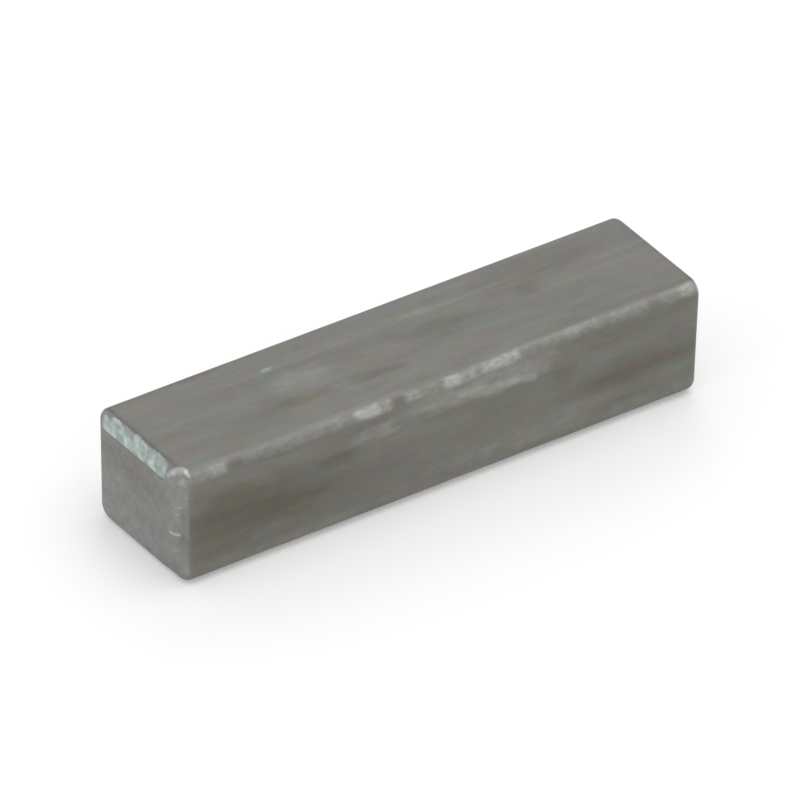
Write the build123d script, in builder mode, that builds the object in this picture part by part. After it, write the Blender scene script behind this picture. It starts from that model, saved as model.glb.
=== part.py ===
from build123d import *

import os
from math import atan2, degrees, radians, tan

# Parallel key, 8 x 7 x 32: one solid bar of cold-drawn key steel, cut off at both ends.
#
# The key sits half in a shaft's keyway and half in a hub's, and drives one from the other
# through its two sides. X runs along the bar, Y across the driving sides, Z from the keyway
# floor up. The origin is the middle of the underside. All sizes are in millimetres.

# Bar.
width = 8.0
height = 7.0
length = 32.0
long_edge_radius = 0.9

# Ends, by side: -1 is the -X end and 1 the +X end. Each cut is turned a little about Z, the
# same way at both ends, and it slants in towards the underside.
cut_skew = {-1: radians(1.9), 1: radians(1.1)}
undercut = {-1: radians(0.7), 1: radians(1.5)}
break_radius = 0.4

# Burr bevel, ground by hand on the top edge of the -X end. It is much deeper down the end
# than along the top, and it stops short of the corner on the -Y side.
bevel_set_back = 0.2
bevel_drop = 1.25
bevel_stop = 2.2

# How far the drawn bar, and then the grinding cut, run past the edges that they trim.
overrun = 2.0


def cut_plane(side):
    """The plane of the cut at the +X end (side 1) or the -X end (side -1), facing outwards."""
    return Plane(
        origin=(side * length / 2, 0, height / 2),
        z_dir=(side, side * tan(cut_skew[side]), -tan(undercut[side])),
    )


def bevel_section_plane():
    """The section across the top edge of the -X cut: x into the bar, y up the cut, z to -Y."""
    outwards = cut_plane(-1).z_dir
    return Plane(
        origin=(-length / 2 - tan(undercut[-1]) * height / 2, 0, height),
        x_dir=-outwards,
        z_dir=Vector(0, 0, 1).cross(outwards),
    )


with BuildPart() as parallel_key:
    # The drawn bar: one section with rounded corners along the whole length.
    with BuildSketch(Plane.YZ.offset(-length / 2 - overrun)) as bar_section:
        with Locations((0, height / 2)):
            RectangleRounded(width, height, long_edge_radius)
    extrude(amount=length + 2 * overrun)

    # The two cut ends, and the break that tumbling leaves round the outline of each.
    for side in (-1, 1):
        split(bisect_by=cut_plane(side), keep=Keep.BOTTOM)
        cut_face = faces().sort_by(Axis.X)[0 if side < 0 else -1]
        fillet(cut_face.edges(), radius=break_radius)

    # The bevel is ground last, so its own edges are crisp.
    far_side = width / 2 + overrun
    with BuildSketch(bevel_section_plane().offset(-far_side)) as grinding_section:
        with Locations((bevel_set_back / 2, -bevel_drop / 2)):
            Rectangle(
                overrun,
                bevel_drop + overrun,
                rotation=-degrees(atan2(bevel_set_back, bevel_drop)),
                align=(Align.MAX, Align.CENTER),
            )
    extrude(amount=far_side + bevel_stop, mode=Mode.SUBTRACT)

parallel_key.part.label = "parallel_key"

os.makedirs("parts", exist_ok=True)
export_step(parallel_key.part, "parts/parallel_key.step")
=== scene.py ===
"""Parallel key, 8 x 7 x 32: a worn, square-ended bar of cold-drawn key steel."""

import math

import bpy
from mathutils import Matrix, Vector


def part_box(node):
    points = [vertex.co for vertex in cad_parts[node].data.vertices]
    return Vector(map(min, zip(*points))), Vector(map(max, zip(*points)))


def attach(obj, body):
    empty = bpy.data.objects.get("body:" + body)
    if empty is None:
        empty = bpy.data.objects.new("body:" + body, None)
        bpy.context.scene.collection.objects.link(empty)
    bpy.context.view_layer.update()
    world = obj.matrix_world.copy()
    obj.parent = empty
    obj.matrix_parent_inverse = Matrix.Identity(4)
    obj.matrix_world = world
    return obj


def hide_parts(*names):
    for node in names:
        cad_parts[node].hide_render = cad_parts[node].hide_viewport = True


bl_info = {
    "name": "Parallel Key",
    "version": (1, 0, 0),
    "blender": (4, 5, 0),
    "location": "View3D > Sidebar > Parallel Key",
    "description": "Builds a worn parallel key of cold-drawn steel round its packed solid",
    "category": "Add Mesh",
}

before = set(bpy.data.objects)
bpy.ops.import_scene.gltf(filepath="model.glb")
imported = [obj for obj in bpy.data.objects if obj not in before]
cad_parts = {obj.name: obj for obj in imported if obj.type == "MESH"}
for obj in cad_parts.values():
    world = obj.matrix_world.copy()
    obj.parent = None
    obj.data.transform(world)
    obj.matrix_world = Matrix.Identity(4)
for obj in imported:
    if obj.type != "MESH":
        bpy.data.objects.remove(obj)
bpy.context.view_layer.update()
CAD_NODE = "parallel_key"
LOWEST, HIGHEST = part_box(CAD_NODE)

MM = 0.001

# A patch starts to show at the first of these, in shares of its half size, and is at its full
# strength within the second. A line is at its full strength within that share of its half width.
PATCH_START, PATCH_FULL = 1.4, 0.3
LINE_FULL = 0.2

# How far the outlines of the patches and of the lines waver, in millimetres.
PATCH_WAVER = (3.0, 1.0, 1.0)
LINE_WAVER = 0.25

# How strongly the streaks and clouds of the drawn faces, the grain of the cut ends and the fine
# grain of both vary the colour of the steel.
STREAKING, CLOUDING, END_GRAINING, FINE_GRAINING = 0.42, 0.42, 0.5, 0.2

# How the steel takes the light: the roughness is its middle value, and the depth of the relief
# is in millimetres.
METALLIC, ROUGHNESS = 0.85, 0.52
RELIEF_STRENGTH, RELIEF_DEPTH = 0.35, 0.012

# What the floor glows by where it is seen, and the strength of the light from all round.
FLOOR_GLOW = 0.22
WORLD_STRENGTH = 0.7

# The wear is placed in millimetres in the key's own frame: X along the bar, Y across
# the driving sides, and Z up from the underside. The -Y side and the -X end are worn most.

# How bright the top edge of the -Y side is worn, with a painted highlight along it: the level along most of
# it, and the places with a level of their own, each with its middle and half length along X.
NEAR_EDGE_WEAR_AND_HIGHLIGHT_LEVEL = 0.3
NEAR_EDGE_WEAR_AND_HIGHLIGHT = (
    (-13.75, 0.45, 0.65),
    (-12.75, 0.40, 0.05),
    (-6.25, 0.30, 0.40),
    (-4.60, 0.75, 1.10),
    (-3.50, 0.40, 0.50),
    (-2.75, 0.35, 0.03),
    (-1.75, 0.40, 0.55),
    (0.65, 0.45, 1.10),
    (1.60, 0.50, 0.60),
    (3.60, 1.10, 0.85),
    (5.60, 0.50, 0.25),
    (8.25, 0.40, 0.42),
    (10.25, 0.25, 0.20),
    (13.25, 0.40, 0.15),
    (15.60, 0.60, 0.75),
)

# Rubbed places, and painted light on the lower -X end and along the bottom of the -Y side: middle, half size
# and strength.
RUBBED_AND_PAINTED_LIGHT = (
    ((3.6, -4.0, 5.35), (3.0, 1.0, 0.45), 0.85),
    ((2.2, -4.0, 5.8), (5.0, 1.0, 0.80), 0.65),
    ((-4.3, -4.0, 5.35), (1.6, 1.0, 0.60), 0.60),
    ((-4.5, -4.0, 4.9), (4.0, 1.0, 1.00), 0.14),
    ((-9.0, -4.0, 5.8), (5.0, 1.0, 0.40), 0.10),
    ((-10.9, -4.0, 1.8), (1.6, 1.0, 0.60), 0.20),
    ((4.5, -4.0, 1.6), (6.0, 1.0, 1.00), 0.35),
    # Painted light: lighter strips along the bottom of the -Y side, against the floor's shade there.
    ((12.0, -4.0, 0.8), (5.0, 1.0, 0.60), 0.30),
    ((-2.0, -4.0, 0.7), (13.0, 1.0, 0.60), 0.22),
    # Painted light: the lower -X end made lighter, against the floor's shade there.
    ((-16.1, 0.3, 0.8), (1.0, 3.9, 1.10), 0.42),
    ((-6.0, 0.0, 7.0), (2.2, 1.1, 1.0), 0.30),
    ((-6.8, 1.75, 7.0), (0.22, 0.12, 1.0), 1.0),
    ((2.2, 1.8, 7.0), (1.2, 0.22, 1.0), 0.35),
)

# Stains of oil and old scale, and painted shade on the upper -X end, in the same way.
STAINED_AND_PAINTED_SHADE = (
    ((-11.8, -4.0, 3.3), (5.5, 1.0, 2.0), 0.62),
    ((-12.8, -4.0, 4.5), (2.8, 1.0, 0.9), 0.62),
    ((-7.0, -4.0, 4.5), (1.6, 1.0, 0.6), 0.50),
    ((12.0, -4.0, 3.2), (4.5, 1.0, 0.9), 0.42),
    ((7.4, -4.0, 4.4), (1.2, 1.0, 0.9), 0.34),
    ((12.0, -4.0, 5.8), (4.5, 1.0, 0.7), 0.22),
    ((-7.6, -1.5, 7.0), (2.6, 0.50, 1.0), 0.38),
    ((-2.5, -1.5, 7.0), (1.5, 0.40, 1.0), 0.38),
    ((-10.5, -2.0, 7.0), (3.5, 0.90, 1.0), 0.22),
    ((2.6, 0.30, 7.0), (2.8, 0.55, 1.0), 0.36),
    ((8.4, 0.7, 7.0), (1.2, 0.7, 1.0), 0.24),
    ((10.0, 2.0, 7.0), (4.0, 1.10, 1.0), 0.28),
    ((-11.0, 3.6, 7.0), (4.5, 0.40, 1.0), 0.30),
    # Painted shade: the upper -X end made darker, beside the lower end's painted light.
    ((-16.1, 1.0, 4.6), (1.0, 3.4, 1.40), 0.30),
)

# Bright scratches, and a painted highlight on a worn corner: the two ends of each, its half width and its
# strength.
SCRATCHES_AND_PAINTED_HIGHLIGHT = (
    # The crest that is hammered up round the top corner of the -X end, with a painted highlight along it.
    ((-15.97, -2.28, 6.15), (-15.93, -2.72, 6.55), 0.20, 0.65),
    ((-15.93, -2.72, 6.55), (-15.84, -2.98, 6.88), 0.25, 0.95),
    ((-15.84, -2.98, 6.88), (-15.68, -3.20, 6.97), 0.29, 1.00),
    ((-15.68, -3.20, 6.97), (-15.55, -3.40, 6.96), 0.26, 0.95),
    ((-15.55, -3.40, 6.96), (-15.50, -3.68, 6.80), 0.19, 0.65),
    # Nicks across the rolled upright edge.
    ((-15.9, -2.45, 2.66), (-15.9, -3.40, 2.98), 0.15, 0.85),
    ((-15.9, -3.00, 4.55), (-15.9, -3.60, 4.85), 0.13, 0.30),
    ((-15.9, -2.90, 4.10), (-15.9, -3.55, 4.45), 0.13, 0.25),
    ((-15.9, -2.65, 1.62), (-15.9, -3.30, 2.00), 0.14, 0.28),
    # The lower lip of the large rubbed place on the -Y side.
    ((1.0, -4.0, 5.72), (3.4, -4.0, 5.35), 0.34, 0.20),
    ((3.4, -4.0, 5.35), (5.6, -4.0, 5.06), 0.34, 0.24),
    # One long, faint draw line on the top.
    ((-10.0, 1.70, 7.0), (11.0, 1.78, 7.0), 0.22, 0.05),
)

# Grime beside the bevel, and a painted shadow along its lower edge, in the same way.
GRIME_AND_PAINTED_SHADOW = (
    ((-16.1, 3.80, 5.85), (-16.1, 3.80, 4.30), 0.16, 0.80),
    # Painted shadow: a dark line along the lower edge of the bevel.
    ((-16.1, 3.30, 5.68), (-15.95, -2.20, 5.68), 0.07, 0.50),
)


class Field:
    """One socket of a node tree. Arithmetic on it adds the Math nodes that work it out."""

    def __init__(self, graph, socket):
        self.graph = graph
        self.socket = socket

    def math(self, operation, *others):
        return self.graph.add("ShaderNodeMath", {"operation": operation}, [self, *others])

    def __add__(self, other):
        return self.math("ADD", other)

    def __radd__(self, other):
        return self.math("ADD", other)

    def __sub__(self, other):
        return self.math("SUBTRACT", other)

    def __rsub__(self, other):
        return self.graph.add("ShaderNodeMath", {"operation": "SUBTRACT"}, [other, self])

    def __mul__(self, other):
        return self.math("MULTIPLY", other)

    def __rmul__(self, other):
        return self.math("MULTIPLY", other)

    def __truediv__(self, other):
        return self.math("DIVIDE", other)

    def __neg__(self):
        return self.math("MULTIPLY", -1.0)

    def __abs__(self):
        return self.math("ABSOLUTE")

    def smaller(self, other):
        return self.math("MINIMUM", other)

    def larger(self, other):
        return self.math("MAXIMUM", other)

    def between(self, low, high):
        return self.larger(low).smaller(high)

    def rise(self, start, end):
        """0 before start, 1 after end, and smooth between them. End may be below start."""
        settings = {"interpolation_type": "SMOOTHSTEP"}
        inputs = {"Value": self, "From Min": start, "From Max": end}
        return self.graph.add("ShaderNodeMapRange", settings, inputs)


class Graph:
    """Adds nodes to a node tree."""

    def __init__(self, tree):
        self.tree = tree

    def node(self, kind, settings=None, inputs=None):
        """A node of that type, with its settings made first and then its inputs."""
        node = self.tree.nodes.new(kind)
        for name, value in (settings or {}).items():
            setattr(node, name, value)
        pairs = inputs.items() if isinstance(inputs, dict) else enumerate(inputs or [])
        for key, value in pairs:
            if isinstance(value, Field):
                self.tree.links.new(value.socket, node.inputs[key])
            elif value is not None:
                node.inputs[key].default_value = value
        return node

    def add(self, kind, settings=None, inputs=None, output=0):
        """The same, giving one of the node's outputs."""
        return Field(self, self.node(kind, settings, inputs).outputs[output])

    def vector(self, operation, *inputs):
        output = "Value" if operation in ("LENGTH", "DISTANCE", "DOT_PRODUCT") else "Vector"
        return self.add("ShaderNodeVectorMath", {"operation": operation}, list(inputs), output)

    def scaled(self, vector, scale):
        inputs = {"Vector": vector, "Scale": scale}
        return self.add("ShaderNodeVectorMath", {"operation": "SCALE"}, inputs)

    def split(self, vector):
        node = self.node("ShaderNodeSeparateXYZ", None, [vector])
        return [Field(self, socket) for socket in node.outputs]

    def join(self, x, y, z):
        return self.add("ShaderNodeCombineXYZ", None, [x, y, z])

    def noise(self, place, sizes, detail=2.0, roughness=0.5, seed=0.0, output=0):
        """Noise from 0 to 1, 0.5 on average, with cells of those sizes in millimetres."""
        cells = self.vector("DIVIDE", place, tuple(size * MM for size in sizes))
        moved = self.vector("ADD", cells, (seed * 7.3, seed * 3.1, seed * 5.7))
        inputs = {"Vector": moved, "Scale": 1.0, "Detail": detail, "Roughness": roughness}
        return self.add("ShaderNodeTexNoise", {"noise_dimensions": "3D"}, inputs, output)

    def patches(self, place, marks):
        """The strongest, at each point, of the soft ellipsoids that the marks describe."""
        total = None
        for middle, half, strength in marks:
            offset = self.vector("SUBTRACT", place, tuple(v * MM for v in middle))
            reach = self.vector("LENGTH", self.vector("DIVIDE", offset, tuple(v * MM for v in half)))
            mark = reach.rise(PATCH_START, PATCH_FULL) * strength
            total = mark if total is None else total.larger(mark)
        return total

    def lines(self, place, marks):
        """The strongest, at each point, of the straight lines that the marks describe."""
        total = None
        for start, end, half_width, strength in marks:
            along = Vector(end) - Vector(start)
            offset = self.vector("SUBTRACT", place, tuple(v * MM for v in start))
            run = self.vector("DOT_PRODUCT", offset, tuple(along * MM)) / (along.length_squared * MM * MM)
            nearest = self.scaled(tuple(along * MM), run.between(0.0, 1.0))
            distance = self.vector("DISTANCE", offset, nearest)
            mark = distance.rise(half_width * MM, half_width * LINE_FULL * MM) * strength
            total = mark if total is None else total.larger(mark)
        return total


# ---------------------------------------------------------------------------------------
# Where each finish is. Geometry Nodes shapes the bar by it, and the steel is coloured by it.
# ---------------------------------------------------------------------------------------


def bevel_fields(graph, place, size):
    """How far the ground bevel takes back the -X end at each point, and how torn it is there."""
    _, y, z = graph.split(place)
    ragged = graph.noise(place, (1000.0, 0.35, 0.5), 2.0, 0.6, 3.0) - 0.5
    drop = size["Bevel Drop"] * (1 + ragged * 0.08)
    below_top = size["Height"] - z
    taken = size["Bevel Set-Back"] * (1 - below_top / drop)
    on_bevel = (below_top - drop).rise(0.015 * MM, -0.015 * MM)
    # The wheel leaves its near end rounded at the bottom.
    rounded = (below_top / drop).larger(0.0).math("POWER", 4.0) * (0.4 * MM)
    on_bevel = on_bevel * (y + size["Bevel Stop"] - rounded + ragged * (0.3 * MM)).rise(-0.05 * MM, 0.05 * MM)
    torn = graph.noise(place, (1000.0, 0.8, 0.7), 1.5, 0.5, 5.0).rise(0.42, 0.66)
    return taken, on_bevel, torn


def end_distance(at, size, side):
    """How far into the bar each point is from the cut at the -X end (side -1) or the +X end."""
    x, y, z = at
    end = "+X" if side > 0 else "-X"
    skew, undercut = size[f"Skew {end}"], size[f"Undercut {end}"]
    # The cuts are so nearly square that each angle serves as its own slope.
    slant = (z - size["Height"] / 2) * undercut - y * skew * side
    return slant - x * side + size["Length"] / 2


def finishes(graph, place, size):
    """How much of each finish, and of the painted light and shade among them, there is at each point, from 0
    to 1, by the finish's name.
    """
    waver = graph.noise(place, (1.6, 0.7, 0.7), 2.0, 0.6, 7.0, "Color")
    waver = graph.vector("SUBTRACT", waver, (0.5, 0.5, 0.5))
    far = graph.vector("MULTIPLY", waver, tuple(reach * MM for reach in PATCH_WAVER))
    wavering = graph.vector("ADD", place, far)
    slight = graph.vector("ADD", place, graph.scaled(waver, LINE_WAVER * MM))
    patchy = graph.noise(place, (0.9, 0.45, 0.45), 3.0, 0.6, 8.0).rise(0.25, 0.7)

    at = graph.split(place)
    _, y, z = at
    from_minus = end_distance(at, size, -1)
    from_plus = end_distance(at, size, 1)
    cut = from_minus.smaller(from_plus).rise(0.3 * MM, 0.12 * MM)

    taken, on_bevel, torn = bevel_fields(graph, place, size)
    # Its upper limit is ragged, and it fades out towards the far corner.
    chipped = (graph.noise(place, (1000.0, 0.8, 1000.0), 2.0, 0.5, 10.0) - 0.42).larger(0.0) * (1.1 * MM)
    chipped = chipped + y.rise(2.3 * MM, 3.3 * MM) * (0.35 * MM)
    ground = on_bevel * (from_minus - taken).rise(0.07 * MM, 0.03 * MM)
    ground = ground * (size["Height"] - z - chipped).rise(-0.02 * MM, 0.1 * MM) * y.rise(3.75 * MM, 3.35 * MM)

    # The upright edge between the -X end and the -Y side is rolled over, up to a wavy limit.
    limit = 1.75 * MM
    wave = (graph.noise(place, (1000.0, 1000.0, 0.8), 2.0, 0.6, 9.0) - 0.5) * (0.8 * MM)
    rolled = (wave - y - limit).rise(0.0, 0.35 * MM)
    rolled = rolled * from_minus.rise(0.45 * MM, 0.1 * MM) * (1 - ground)

    # The worn edges carry a painted highlight on the top edge of the -Y side and round the -X end's top
    # corner.
    worn = near_edge_wear_and_highlight(graph, slight, size)
    worn = worn.larger(other_edge_wear(graph, slight, size, from_minus, from_plus))
    worn = worn.larger(graph.lines(slight, SCRATCHES_AND_PAINTED_HIGHLIGHT))
    return {
        "cut": cut,
        "ground": ground,
        "torn": torn,
        "rolled": rolled,
        "worn": worn * (1 - ground),
        # Rubbed places and stains, with painted light and shade among them.
        "rubbed": graph.patches(wavering, RUBBED_AND_PAINTED_LIGHT) * (patchy * 0.75 + 0.45),
        "stained": graph.patches(wavering, STAINED_AND_PAINTED_SHADE).larger(graph.lines(slight, GRIME_AND_PAINTED_SHADOW)),
    }


def edge_angle(y, z, size, y_side, z_side):
    """The angle round a long edge: 0 at the top or underside, and a quarter turn at the side."""
    middle_y = size["Width"] / 2 - size["Long Edge Radius"]
    middle_z = size["Height"] / 2 - size["Long Edge Radius"]
    out_y = (y * y_side - middle_y).larger(0.0)
    out_z = ((z - size["Height"] / 2) * z_side - middle_z).larger(1e-6)
    return out_y.math("ARCTAN2", out_z)


def near_edge_wear_and_highlight(graph, place, size):
    """How bright the top edge of the -Y side is worn, with a painted highlight along it."""
    x, y, z = graph.split(place)
    angle = edge_angle(y, z, size, -1, 1)
    # The band follows the highlight on the rounding, so it is painted highlight as well as worn steel.
    further = x.rise(1.0 * MM, 8.0 * MM)
    middle = math.radians(53) - further * math.radians(6)
    half = further * math.radians(3) + math.radians(16)
    band = (abs(angle - middle) / half).rise(1.7, 0.3)
    level = NEAR_EDGE_WEAR_AND_HIGHLIGHT_LEVEL
    for centre, reach, own_level in NEAR_EDGE_WEAR_AND_HIGHLIGHT:
        there = abs(x - centre * MM).rise((reach + 0.3) * MM, (reach - 0.2) * MM)
        level = (own_level - level) * there + level
    speckle = graph.noise(place, (0.4, 0.25, 0.25), 2.0, 0.6, 22.0).rise(0.28, 0.66)
    return band * level * (speckle * 0.6 + 0.62)


def other_edge_wear(graph, place, size, from_minus, from_plus):
    """How bright the other long edges and the outlines of the ends are worn."""
    _, y, z = graph.split(place)
    patchy = graph.noise(place, (2.2, 0.8, 0.8), 3.0, 0.6, 23.0).rise(0.42, 0.72)
    total = None
    for y_side, z_side in ((1, 1), (1, -1), (-1, -1)):
        angle = edge_angle(y, z, size, y_side, z_side)
        band = abs(angle - math.radians(45)).rise(math.radians(24), math.radians(6))
        total = band if total is None else total.larger(band)
    on_outline = abs(from_minus.smaller(from_plus) - 0.12 * MM).rise(0.14 * MM, 0.02 * MM)
    inset = (size["Width"] / 2 - abs(y)).smaller(size["Height"] / 2 - abs(z - size["Height"] / 2))
    on_outline = on_outline * inset.rise(0.45 * MM, 0.2 * MM)
    return total.larger(on_outline * 0.4) * patchy * 0.4


# ---------------------------------------------------------------------------------------
# The bar
# ---------------------------------------------------------------------------------------

# Each input of the node tree, and the size that sets it.
SIZE_INPUTS = {
    "Length": "length",
    "Width": "width",
    "Height": "height",
    "Long Edge Radius": "long_edge_radius",
    "Break Radius": "break_radius",
    "Skew -X": "skew_minus",
    "Skew +X": "skew_plus",
    "Undercut -X": "undercut_minus",
    "Undercut +X": "undercut_plus",
    "Bevel Set-Back": "bevel_set_back",
    "Bevel Drop": "bevel_drop",
    "Bevel Stop": "bevel_stop",
    "Cell Along": "cell_along",
    "Cell Across": "cell_across",
    "Tear Depth": "tear_depth",
    "Dent Depth": "dent_depth",
    "Roll-Over Depth": "rollover_depth",
}


def bar_tree(sizes, material):
    """The node tree of the bar, and the identifier of each of its inputs by name."""
    tree = bpy.data.node_groups.new("worn_key_bar", "GeometryNodeTree")
    tree.interface.new_socket("Geometry", in_out="OUTPUT", socket_type="NodeSocketGeometry")
    identifiers = {}
    for name, prop in SIZE_INPUTS.items():
        socket = tree.interface.new_socket(name, in_out="INPUT", socket_type="NodeSocketFloat")
        socket.default_value = getattr(sizes, prop)
        identifiers[name] = socket.identifier
    socket = tree.interface.new_socket("Material", in_out="INPUT", socket_type="NodeSocketMaterial")
    socket.default_value = material
    identifiers["Material"] = socket.identifier

    graph = Graph(tree)
    group_in = graph.node("NodeGroupInput")
    size = {name: Field(graph, group_in.outputs[name]) for name in SIZE_INPUTS}

    # A block of small cells, centred on the origin.
    counts = {
        "Vertices X": (size["Length"] / size["Cell Along"]).math("ROUND") + 1,
        "Vertices Y": (size["Width"] / size["Cell Across"]).math("ROUND") + 1,
        "Vertices Z": (size["Height"] / size["Cell Across"]).math("ROUND") + 1,
    }
    corner = graph.join(size["Length"], size["Width"], size["Height"])
    block = graph.add("GeometryNodeMeshCube", None, {"Size": corner, **counts}, "Mesh")
    on_bar = bar_shape(graph, size)
    shaped = graph.add("GeometryNodeSetPosition", None, {"Geometry": block, "Position": on_bar})

    # Tears, dents and the rolled edge, all pressed into the surface along its own normal.
    place = graph.add("GeometryNodeInputPosition")
    finish = finishes(graph, place, size)
    dents = graph.noise(place, (0.9, 0.4, 0.4), 2.0, 0.55, 11.0).rise(0.42, 0.75)
    roll = finish["rolled"] * (graph.noise(place, (1.0, 0.6, 0.5), 2.0, 0.5, 12.0) * 0.4 + 0.6)
    depth = finish["ground"] * finish["torn"] * size["Tear Depth"]
    depth = depth + finish["worn"] * dents * size["Dent Depth"] + roll * size["Roll-Over Depth"]
    inwards = graph.scaled(graph.add("GeometryNodeInputNormal"), -depth)
    pressed = graph.add("GeometryNodeSetPosition", None, {"Geometry": shaped, "Offset": inwards})

    smooth = graph.add("GeometryNodeSetShadeSmooth", None, {"Geometry": pressed, "Shade Smooth": True})
    real = graph.add("GeometryNodeRealizeInstances", None, {"Geometry": smooth})
    steel = Field(graph, group_in.outputs["Material"])
    finished = graph.add("GeometryNodeSetMaterial", None, {"Geometry": real, "Material": steel})
    graph.node("NodeGroupOutput", None, {"Geometry": finished})
    return tree, identifiers


def bar_shape(graph, size):
    """Where each point of the block goes on the bar."""
    half_length, half_width, half_height = size["Length"] / 2, size["Width"] / 2, size["Height"] / 2
    radius, brk = size["Long Edge Radius"], size["Break Radius"]
    x, y, z = graph.split(graph.add("GeometryNodeInputPosition"))

    # How far in each point is from the outline of the section and from the nearer end. The
    # break bends the corner between the two into a quarter circle.
    grid_inset = (half_width - abs(y)).smaller(half_height - abs(z)).larger(0.0)
    grid_from_end = (half_length - abs(x)).larger(0.0)
    back_in = grid_inset.smaller(brk) - brk
    back_on = grid_from_end.smaller(brk) - brk
    away = (back_in * back_in + back_on * back_on).math("SQRT").larger(1e-7)
    inset = grid_inset - grid_inset.smaller(brk) + brk + brk * back_in / away
    from_end = grid_from_end - grid_from_end.smaller(brk) + brk + brk * back_on / away

    # The point of the square outline that each point belongs to, and the way out from the
    # middle of the outline's rounding to it.
    edge_y = y * half_width / (half_width - grid_inset).larger(1e-7)
    edge_z = z * half_height / (half_height - grid_inset).larger(1e-7)
    middle_y = edge_y.between(radius - half_width, half_width - radius)
    middle_z = edge_z.between(radius - half_height, half_height - radius)
    out_y, out_z = edge_y - middle_y, edge_z - middle_z
    out = (out_y * out_y + out_z * out_z).math("SQRT").larger(1e-7)

    # Rings near the outline follow its rounding, and the rest close on the end's middle line.
    ring = (radius - inset.smaller(brk)) / out
    closing = (inset - brk).larger(0.0) / (half_height - brk)
    line_y = edge_y * (half_width - half_height) / half_width
    new_y = (middle_y + ring * out_y) * (1 - closing) + line_y * closing
    new_z = (middle_z + ring * out_z) * (1 - closing) + half_height

    # The ground bevel, and the slant of each cut, which fades out towards the bar's middle.
    at_minus = x.math("LESS_THAN", 0.0)
    taken, on_bevel, _ = bevel_fields(graph, graph.join(0.0, new_y, new_z), size)
    from_end = from_end.larger(taken * on_bevel * at_minus)
    new_x = x.math("SIGN") * (half_length - from_end)
    skew = at_minus * size["Skew -X"] + (1 - at_minus) * size["Skew +X"]
    undercut = at_minus * size["Undercut -X"] + (1 - at_minus) * size["Undercut +X"]
    slant = x.math("SIGN") * undercut * (new_z - half_height) - skew * new_y
    return graph.join(new_x + slant * (abs(new_x) / (half_length - brk)).smaller(1.0), new_y, new_z)


class KeySizes(bpy.types.PropertyGroup):
    """Sizes of the bar and of its wear"""

    length: bpy.props.FloatProperty(
        name="Length", description="Length between the middles of the two cuts",
        default=32.0 * MM, unit="LENGTH",
    )
    width: bpy.props.FloatProperty(
        name="Width", description="Distance between the two driving sides",
        default=HIGHEST.y - LOWEST.y, unit="LENGTH",
    )
    height: bpy.props.FloatProperty(
        name="Height", description="Distance from the underside to the top",
        default=HIGHEST.z - LOWEST.z, unit="LENGTH",
    )
    long_edge_radius: bpy.props.FloatProperty(
        name="Long Edge Radius", description="Radius of the drawn bar's corners",
        default=0.9 * MM, unit="LENGTH",
    )
    break_radius: bpy.props.FloatProperty(
        name="Break Radius", description="Radius of the break round each cut",
        default=0.4 * MM, unit="LENGTH",
    )
    skew_minus: bpy.props.FloatProperty(
        name="Skew -X", description="Turn of the -X cut about Z",
        default=math.radians(1.9), subtype="ANGLE",
    )
    skew_plus: bpy.props.FloatProperty(
        name="Skew +X", description="Turn of the +X cut about Z",
        default=math.radians(1.1), subtype="ANGLE",
    )
    undercut_minus: bpy.props.FloatProperty(
        name="Undercut -X", description="How far the -X cut slants in towards the underside",
        default=math.radians(0.7), subtype="ANGLE",
    )
    undercut_plus: bpy.props.FloatProperty(
        name="Undercut +X", description="How far the +X cut slants in towards the underside",
        default=math.radians(1.5), subtype="ANGLE",
    )
    bevel_set_back: bpy.props.FloatProperty(
        name="Bevel Set-Back", description="How far the ground bevel reaches along the top",
        default=0.2 * MM, unit="LENGTH",
    )
    bevel_drop: bpy.props.FloatProperty(
        name="Bevel Drop", description="How far the ground bevel reaches down the end",
        default=1.25 * MM, unit="LENGTH",
    )
    bevel_stop: bpy.props.FloatProperty(
        name="Bevel Stop", description="How far past the bar's middle the ground bevel runs",
        default=2.2 * MM, unit="LENGTH",
    )
    cell_along: bpy.props.FloatProperty(
        name="Cell Along", description="Size of a mesh cell along the bar",
        default=0.15 * MM, unit="LENGTH",
    )
    cell_across: bpy.props.FloatProperty(
        name="Cell Across", description="Size of a mesh cell round the section",
        default=0.09 * MM, unit="LENGTH",
    )
    tear_depth: bpy.props.FloatProperty(
        name="Tear Depth", description="Depth of the tears in the ground bevel",
        default=0.03 * MM, unit="LENGTH",
    )
    dent_depth: bpy.props.FloatProperty(
        name="Dent Depth", description="Depth of the dents in the worn edges",
        default=0.03 * MM, unit="LENGTH",
    )
    rollover_depth: bpy.props.FloatProperty(
        name="Roll-Over Depth", description="Depth of the rolled upright edge",
        default=0.05 * MM, unit="LENGTH",
    )


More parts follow.
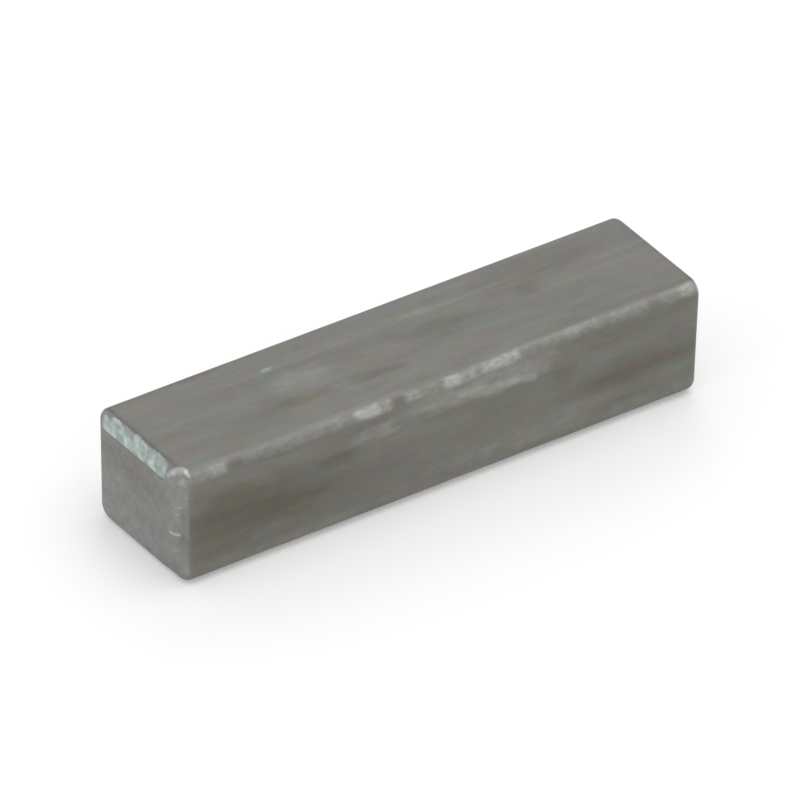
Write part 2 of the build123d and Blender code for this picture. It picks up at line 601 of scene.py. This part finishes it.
class KeyColours(bpy.types.PropertyGroup):
    """Colours of the steel and the floor"""

    drawn: bpy.props.FloatVectorProperty(
        name="Drawn Steel", description="Top and underside",
        subtype="COLOR", size=3, default=(0.208, 0.206, 0.19),
    )
    # The driving sides are a little darker and browner than the top: partly painted shade.
    side: bpy.props.FloatVectorProperty(
        name="Driving Sides", description="The two driving sides",
        subtype="COLOR", size=3, default=(0.2, 0.196, 0.172),
    )
    cut: bpy.props.FloatVectorProperty(
        name="Cut Steel", description="The two cut ends",
        subtype="COLOR", size=3, default=(0.25, 0.25, 0.242),
    )
    # The stain colour also paints the shade on the upper -X end and the shadow line under the bevel.
    stain: bpy.props.FloatVectorProperty(
        name="Stain", description="Old oil and scale",
        subtype="COLOR", size=3, default=(0.13, 0.115, 0.085),
    )
    # Bright steel also paints the highlights on the worn edges and the painted light on the lower -X end and
    # the bottom of the -Y side.
    bright: bpy.props.FloatVectorProperty(
        name="Bright Steel", description="Worn edges and rubbed places",
        subtype="COLOR", size=3, default=(0.48, 0.49, 0.46),
    )
    ground: bpy.props.FloatVectorProperty(
        name="Ground Steel", description="The ground bevel",
        subtype="COLOR", size=3, default=(0.40, 0.46, 0.435),
    )
    rolled: bpy.props.FloatVectorProperty(
        name="Rolled Edge", description="The rolled upright edge at the -X end",
        subtype="COLOR", size=3, default=(0.33, 0.325, 0.305),
    )
    floor: bpy.props.FloatVectorProperty(
        name="Floor", description="Studio floor",
        subtype="COLOR", size=3, default=(0.82, 0.82, 0.82),
    )


def steel_material(sizes, colours):
    """Cold-drawn steel: streaked drawn sides, grained cut ends, a torn bevel and worn edges, with some
    painted light and shade.
    """
    material = bpy.data.materials.new("cold_drawn_key_steel")
    material.use_nodes = True
    tree = material.node_tree
    tree.nodes.clear()
    graph = Graph(tree)
    place = graph.add("ShaderNodeTexCoord", None, None, "Object")
    size = {name: getattr(sizes, prop) for name, prop in SIZE_INPUTS.items()}
    finish = finishes(graph, place, size)

    def blend(factor, a, b, kind="MIX"):
        """Colour a, with colour b over it as far as the factor says."""
        a, b = (c if isinstance(c, Field) else (*c, 1.0) for c in (a, b))
        settings = {"data_type": "RGBA", "blend_type": kind, "clamp_factor": True}
        return graph.add("ShaderNodeMix", settings, {0: factor, 6: a, 7: b}, 2)

    streaks = graph.noise(place, (6.0, 0.8, 0.8), 3.0, 0.55, 1.0) - 0.5
    clouds = graph.noise(place, (2.4, 1.5, 1.5), 3.0, 0.5, 2.0) - 0.5
    grain = graph.noise(place, (0.22, 0.12, 0.12), 2.0, 0.6, 3.0) - 0.5
    end_grain = graph.noise(place, (0.5, 0.5, 0.5), 3.0, 0.65, 4.0) - 0.5
    red_green = graph.noise(place, (1.5, 1.1, 1.1), 2.0, 0.6, 5.0) - 0.5
    blue_yellow = graph.noise(place, (1.6, 1.2, 1.2), 2.0, 0.6, 6.0) - 0.5

    # The colours of the drawn faces and the cut ends, with stains and rubbed places over them, and painted
    # light and shade among them.
    # The driving sides are a little darker, partly as painted shade.
    _, ny, _ = graph.split(graph.add("ShaderNodeNewGeometry", None, None, "Normal"))
    cut = finish["cut"]
    base = blend(abs(ny).rise(0.5, 0.95), tuple(colours.drawn), tuple(colours.side))
    base = blend(cut, base, tuple(colours.cut))
    base = blend(finish["stained"], base, tuple(colours.stain))
    base = blend(finish["rubbed"] * 0.45, base, tuple(colours.bright))
    base = blend(finish["rolled"] * 0.13, base, tuple(colours.rolled))
    mottle = (streaks * STREAKING + clouds * CLOUDING) * (1 - cut)
    mottle = mottle + end_grain * END_GRAINING * cut + grain * FINE_GRAINING
    tint = 1 - cut * 0.3
    shades = (
        (red_green * 0.24 - blue_yellow * 0.09) * tint + mottle + 1,
        (red_green * -0.21 - blue_yellow * 0.09) * tint + mottle + 1,
        blue_yellow * 0.26 * tint + mottle + 1,
    )
    base = blend(1.0, base, graph.add("ShaderNodeCombineColor", None, shades), "MULTIPLY")

    # The bevel is bright where the wheel has cut clean, and duller in the tears.
    blotch = graph.noise(place, (0.7, 0.7, 0.6), 2.0, 0.55, 9.0).rise(0.3, 0.7)
    dull, clean, in_tears = (tuple(c * share for c in colours.ground) for share in (0.7, 1.28, 0.6))
    ground = blend(blotch, dull, clean)
    ground = blend(finish["torn"] * 0.4, ground, in_tears)
    base = blend(finish["ground"], base, ground)
    # Worn edges, with the painted highlight along the top edge of the -Y side and round the -X end's top
    # corner.
    base = blend(finish["worn"], base, tuple(colours.bright))

    rough = clouds * 0.2 - finish["worn"] * 0.1 - finish["ground"] * 0.04 + finish["stained"] * 0.06
    rough = rough + ROUGHNESS
    draw_lines = graph.noise(place, (9.0, 0.06, 0.06), 2.0, 0.5, 12.0)
    relief = draw_lines * (1 - cut) + end_grain * cut + grain * 0.6 + streaks * 0.8
    settings = {"Strength": RELIEF_STRENGTH, "Distance": RELIEF_DEPTH * MM, "Height": relief}
    bump = graph.add("ShaderNodeBump", None, settings)
    steel = {"Base Color": base, "Roughness": rough, "Metallic": METALLIC, "Normal": bump}
    shader = graph.add("ShaderNodeBsdfPrincipled", None, steel)
    graph.node("ShaderNodeOutputMaterial", None, {"Surface": shader})
    return material


class PARALLEL_KEY_OT_bar(bpy.types.Operator):
    """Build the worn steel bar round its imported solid"""

    bl_idname = "parallel_key.bar"
    bl_label = "Key Bar"

    def execute(self, context):
        scene = context.scene
        material = steel_material(scene.key_sizes, scene.key_colours)
        tree, identifiers = bar_tree(scene.key_sizes, material)
        source = bpy.data.objects.new("worn_key_bar", bpy.data.meshes.new("worn_key_bar"))
        scene.collection.objects.link(source)
        modifier = source.modifiers.new("Worn Key Bar", "NODES")
        modifier.node_group = tree
        for name, prop in SIZE_INPUTS.items():
            modifier[identifiers[name]] = getattr(scene.key_sizes, prop)
        modifier[identifiers["Material"]] = material
        context.view_layer.update()
        mesh = bpy.data.meshes.new_from_object(source.evaluated_get(context.evaluated_depsgraph_get()))
        source.modifiers.remove(modifier)
        bpy.data.objects.remove(source)
        if not mesh.polygons:
            raise RuntimeError("The node tree of the bar made no mesh")
        mesh.materials.clear()
        mesh.materials.append(material)
        mesh.name = "parallel_key_steel"
        bar = bpy.data.objects.new("parallel_key_steel", mesh)
        scene.collection.objects.link(bar)
        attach(bar, "root")
        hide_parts(CAD_NODE)
        return {"FINISHED"}


class PARALLEL_KEY_OT_stage(bpy.types.Operator):
    """Build the floor, the lights and the camera"""

    bl_idname = "parallel_key.stage"
    bl_label = "Stage"

    def execute(self, context):
        scene = context.scene
        make_floor(scene, scene.key_colours)
        make_lights(scene)
        make_camera(scene)
        scene.view_settings.view_transform = "Standard"
        return {"FINISHED"}


def make_floor(scene, colours):
    """A large pale floor, which looks white to the camera but keeps the key's shadow."""
    reach = 3.0
    # A hair below the underside, so that the two faces never share a plane.
    level = -0.01 * MM
    corners = [(x * reach, y * reach, level) for x, y in ((-1, -1), (1, -1), (1, 1), (-1, 1))]
    mesh = bpy.data.meshes.new("floor")
    mesh.from_pydata(corners, [], [(0, 1, 2, 3)])
    floor = bpy.data.objects.new("floor", mesh)
    scene.collection.objects.link(floor)
    material = bpy.data.materials.new("floor_white")
    material.use_nodes = True
    tree = material.node_tree
    tree.nodes.clear()
    graph = Graph(tree)
    paths = graph.node("ShaderNodeLightPath")
    seen_by = ("Is Camera Ray", "Is Glossy Ray", "Is Transmission Ray")
    camera, glossy, through = (Field(graph, paths.outputs[name]) for name in seen_by)
    diffuse = graph.add("ShaderNodeBsdfDiffuse", None, {"Color": (*colours.floor, 1.0)})
    lift = camera.larger(glossy).larger(through) * FLOOR_GLOW
    glow = graph.add("ShaderNodeEmission", None, {"Color": (1, 1, 1, 1), "Strength": lift})
    both = graph.add("ShaderNodeAddShader", None, [diffuse, glow])
    graph.node("ShaderNodeOutputMaterial", None, {"Surface": both})
    mesh.materials.append(material)


def area_light(scene, name, place, size, radiance):
    """A square light at a place, facing the key, of that radiance."""
    data = bpy.data.lights.new(name, "AREA")
    data.shape = "SQUARE"
    data.size = size
    data.energy = radiance * math.pi * size * size
    light = bpy.data.objects.new(name, data)
    light.location = place
    light.rotation_mode = "QUATERNION"
    light.rotation_quaternion = (Vector((0, 0, 0.003)) - Vector(place)).to_track_quat("-Z", "Y")
    scene.collection.objects.link(light)


def make_lights(scene):
    """Soft studio light from all round, with softboxes overhead, behind and on the left."""
    world = bpy.data.worlds.new("studio")
    world.use_nodes = True
    background = world.node_tree.nodes["Background"]
    background.inputs["Color"].default_value = (1, 1, 1, 1)
    background.inputs["Strength"].default_value = WORLD_STRENGTH
    scene.world = world
    area_light(scene, "overhead", (0.05, -0.05, 0.30), 0.22, 1.7)
    area_light(scene, "window", (0.16, 0.26, 0.22), 0.22, 0.8)
    area_light(scene, "left", (-0.30, 0.02, 0.06), 0.22, 1.0)


def make_camera(scene):
    """A long lens, high on the left of the -Y side."""
    azimuth, elevation, roll = (math.radians(angle) for angle in (-34.022, 35.532, 0.638))
    distance = 0.623493
    shift_left, shift_down = 0.075 * MM, 0.121 * MM
    away = Vector((math.sin(azimuth), -math.cos(azimuth), 0))
    back = away * math.cos(elevation) + Vector((0, 0, math.sin(elevation)))
    right = Vector((math.cos(azimuth), math.sin(azimuth), 0))
    up = back.cross(right)
    right, up = right * math.cos(roll) + up * math.sin(roll), up * math.cos(roll) - right * math.sin(roll)
    middle = Vector((0, 0, (LOWEST.z + HIGHEST.z) / 2))
    place = middle + back * distance - right * shift_left - up * shift_down
    data = bpy.data.cameras.new("camera")
    data.lens = 540
    data.sensor_width = 36
    data.clip_start = 0.05
    data.clip_end = 20
    camera = bpy.data.objects.new("camera", data)
    scene.collection.objects.link(camera)
    camera.matrix_world = Matrix.Translation(place) @ Matrix((right, up, back)).transposed().to_4x4()
    scene.camera = camera


class PARALLEL_KEY_PT_panel(bpy.types.Panel):
    """The operators that build the key and its stage"""

    bl_label = "Parallel Key"
    bl_space_type = "VIEW_3D"
    bl_region_type = "UI"
    bl_category = "Parallel Key"

    def draw(self, context):
        for operator in OPERATORS:
            self.layout.operator(operator.bl_idname)


OPERATORS = (PARALLEL_KEY_OT_bar, PARALLEL_KEY_OT_stage)
CLASSES = (KeySizes, KeyColours, *OPERATORS, PARALLEL_KEY_PT_panel)


def register():
    for cls in CLASSES:
        bpy.utils.register_class(cls)
    bpy.types.Scene.key_sizes = bpy.props.PointerProperty(type=KeySizes)
    bpy.types.Scene.key_colours = bpy.props.PointerProperty(type=KeyColours)


def unregister():
    del bpy.types.Scene.key_colours
    del bpy.types.Scene.key_sizes
    for cls in reversed(CLASSES):
        bpy.utils.unregister_class(cls)


def main():
    register()
    bpy.ops.parallel_key.bar()
    bpy.ops.parallel_key.stage()


if __name__ == "__main__":
    main()
